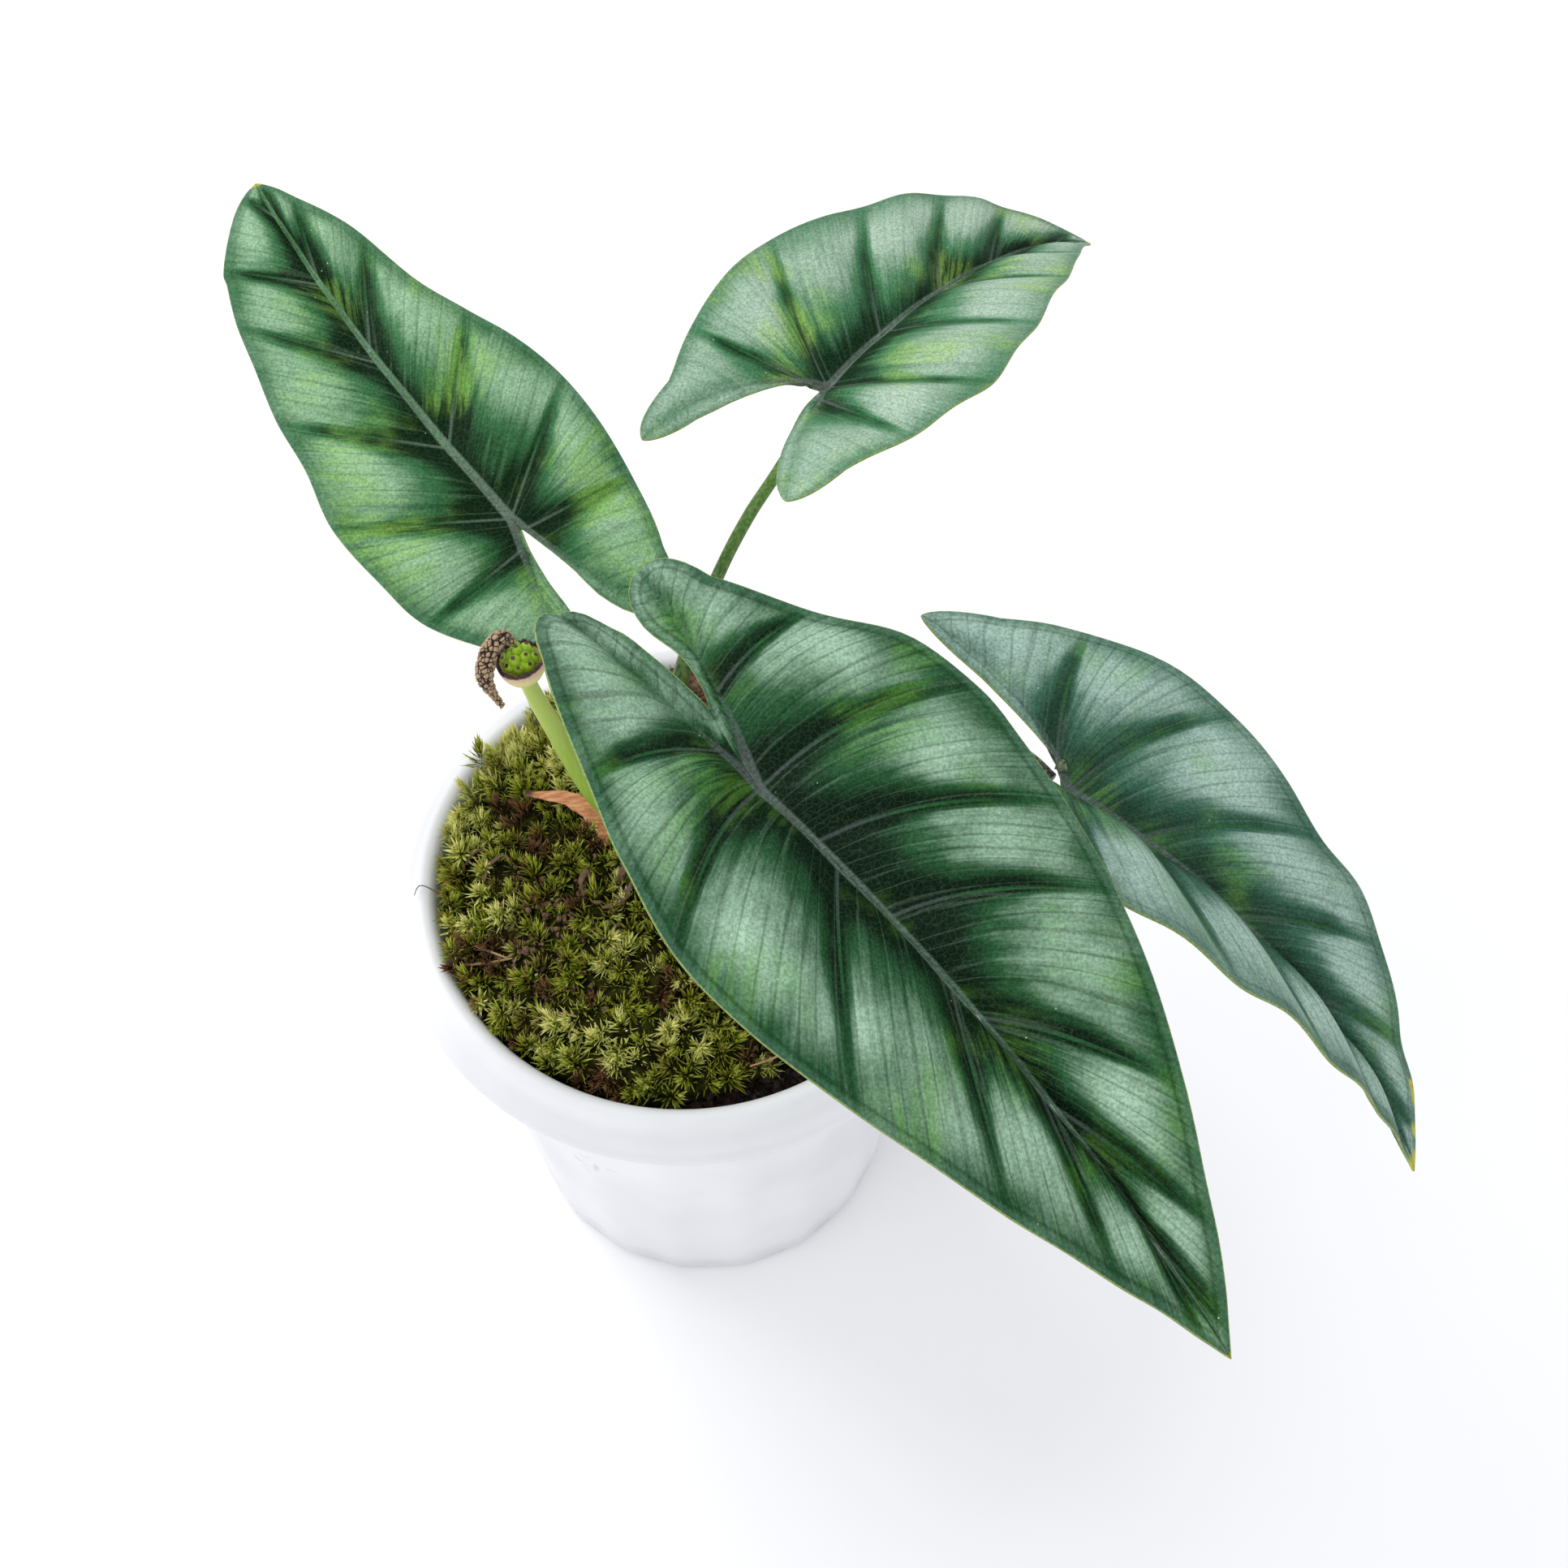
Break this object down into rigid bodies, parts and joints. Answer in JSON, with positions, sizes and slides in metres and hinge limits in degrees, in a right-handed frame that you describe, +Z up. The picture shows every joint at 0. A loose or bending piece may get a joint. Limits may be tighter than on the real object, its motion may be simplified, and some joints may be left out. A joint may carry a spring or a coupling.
{
  "type": "potted alocasia reversa",
  "caption": "Small potted aroid with arrow-shaped quilted leaves on bent stalks, an old flower and cushion moss in a white tapered nursery pot.",
  "frame": {"origin": "centre of the pot's flat base, on the surface that the pot stands on", "axes": "+Z up along the pot's axis; the picture was taken from the -Y side, so +X is to its right"},
  "size_m": [0.2115, 0.2623, 0.2463],
  "materials": {
    "pot": "white satin moulded plastic",
    "soil": "dark crumbly peat",
    "moss": "soft tufted moss, yellow-green to brown",
    "stem": "brown fibrous leaf scars",
    "petiole": "smooth waxy green stalk",
    "petiole_dark": "smooth waxy stalk, blackish purple",
    "petiole_light": "smooth waxy pale green stalk",
    "leaf_dark": "thick leathery leaf, dark green with a silvery sheen",
    "leaf_light": "thick leathery leaf, lighter green with a silvery sheen",
    "spathe": "withered cream cup with a brown rim",
    "ovary": "glossy bright green knobs",
    "spadix": "dry, brown and warty",
    "dry_leaf": "dry orange-brown papery sheath"
  },
  "bodies": {
    "root": {"pot": "pot", "soil": "soil", "moss": "moss", "stem": "stem", "petiole_front": "petiole", "blade_front": "leaf_dark", "petiole_right": "petiole_dark", "blade_right": "leaf_dark", "petiole_left": "petiole_light", "blade_left": "leaf_light", "petiole_back": "petiole", "blade_back": "leaf_light", "peduncle": "petiole_light", "spathe_cup": "spathe", "ovaries": "ovary", "spadix_remnant": "spadix", "dry_sheath": "dry_leaf"}
  },
  "joints": []
}
